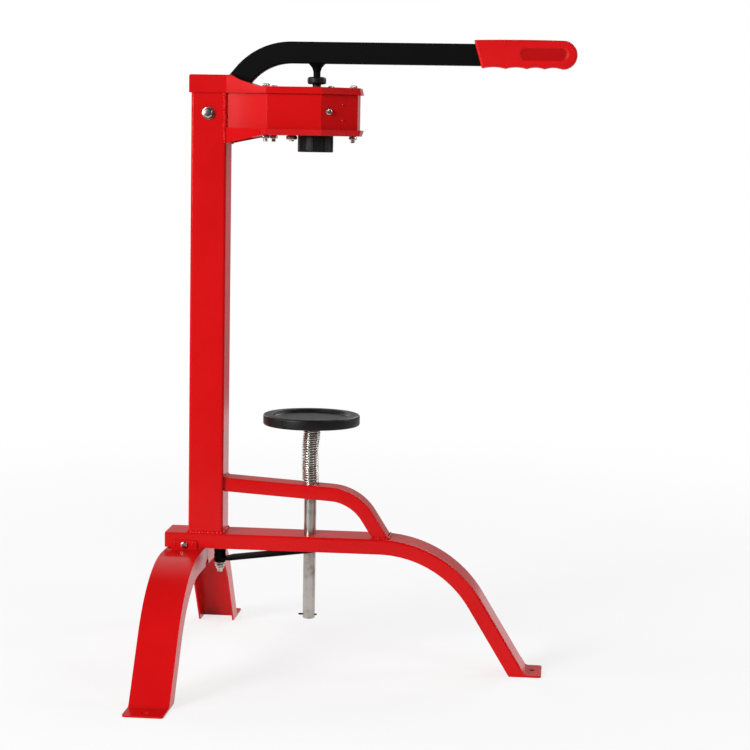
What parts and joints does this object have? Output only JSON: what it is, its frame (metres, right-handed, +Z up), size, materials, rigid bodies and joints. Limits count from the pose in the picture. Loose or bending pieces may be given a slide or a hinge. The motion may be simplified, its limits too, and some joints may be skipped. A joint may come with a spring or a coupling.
{
  "type": "floor-standing wine corker",
  "caption": "Floor-standing wine corker: square column on a curved front leg and two rear legs, compression head with jaws, long hand lever with plunger, sprung bottle platform.",
  "frame": {"origin": "on the floor, under the middle of the overall box", "axes": "+X from the column towards the front foot and the hand grip, +Y to the left rear leg, +Z up"},
  "size_m": [0.4534, 0.5, 0.7132],
  "materials": {
    "red_paint": "gloss powder coat",
    "black_paint": "matte black",
    "black_plastic": "fine matte",
    "red_grip": "satin",
    "bright_steel": "zinc plated",
    "jaw_brass": "cast"
  },
  "bodies": {
    "frame": {"column_tube": "red_paint", "base_beam": "red_paint", "upper_brace": "red_paint", "rear_leg_left": "red_paint", "rear_leg_right": "red_paint", "leg_bolts": "bright_steel", "leg_nuts": "bright_steel", "head_side_wall": "red_paint", "head_top_cover": "red_paint", "head_bottom_cover": "red_paint", "cover_bolts": "bright_steel", "cover_nuts": "bright_steel", "cover_screw": "bright_steel", "nose_bolts": "bright_steel", "front_jaw": "jaw_brass", "jaw_guides": "bright_steel", "guide_stud": "bright_steel", "guide_nut": "bright_steel", "pivot_bolt": "bright_steel", "pivot_washers": "bright_steel", "pivot_nut": "bright_steel", "neck_guide": "black_plastic", "lock_stud": "bright_steel", "lock_washer": "bright_steel", "lock_nut": "bright_steel"},
    "lever": {"lever_tube": "black_paint", "pivot_sleeve": "black_paint", "drive_pin": "bright_steel", "handle_grip": "red_grip", "plunger_rod": "bright_steel", "stop_knob": "black_paint"},
    "pusher": {"pusher_fork": "bright_steel", "rear_jaw": "jaw_brass"},
    "jaw_left": {"left_jaw": "jaw_brass"},
    "jaw_right": {"right_jaw": "jaw_brass"},
    "platform": {"platform_rod": "bright_steel", "bottle_platform": "black_plastic", "cotter_pin": "bright_steel", "platform_spring": "bright_steel"},
    "lock": {"lock_plate": "black_paint"}
  },
  "joints": [
    {"name": "lever_hinge", "type": "hinge", "parent": "frame", "child": "lever", "pos_m": [-0.1805, 0, 0.6274], "axis": [0, -1, 0], "range_deg": [0, 45]},
    {"name": "pusher_slide", "type": "slide", "parent": "frame", "child": "pusher", "axis": [-1, 0, 0], "range_m": [0, 0.00622]},
    {"name": "jaw_left_slide", "type": "slide", "parent": "frame", "child": "jaw_left", "axis": [0, 1, 0], "range_m": [0, 0.00622]},
    {"name": "jaw_right_slide", "type": "slide", "parent": "frame", "child": "jaw_right", "axis": [0, -1, 0], "range_m": [0, 0.00622]},
    {"name": "platform_slide", "type": "slide", "parent": "frame", "child": "platform", "axis": [0, 0, 1], "range_m": [-0.02, 0.058], "deforming": ["platform_spring"]},
    {"name": "lock_plate_tilt", "type": "hinge", "parent": "frame", "child": "lock", "pos_m": [-0.1665, 0, 0.123], "axis": [0, 1, 0], "range_deg": [0, 4.5]}
  ],
  "couplings": [
    {"joint": "pusher_slide", "follows": "lever_hinge", "m_per_rad": 0.007792},
    {"joint": "jaw_left_slide", "follows": "lever_hinge", "m_per_rad": 0.007792},
    {"joint": "jaw_right_slide", "follows": "lever_hinge", "m_per_rad": 0.007792}
  ]
}
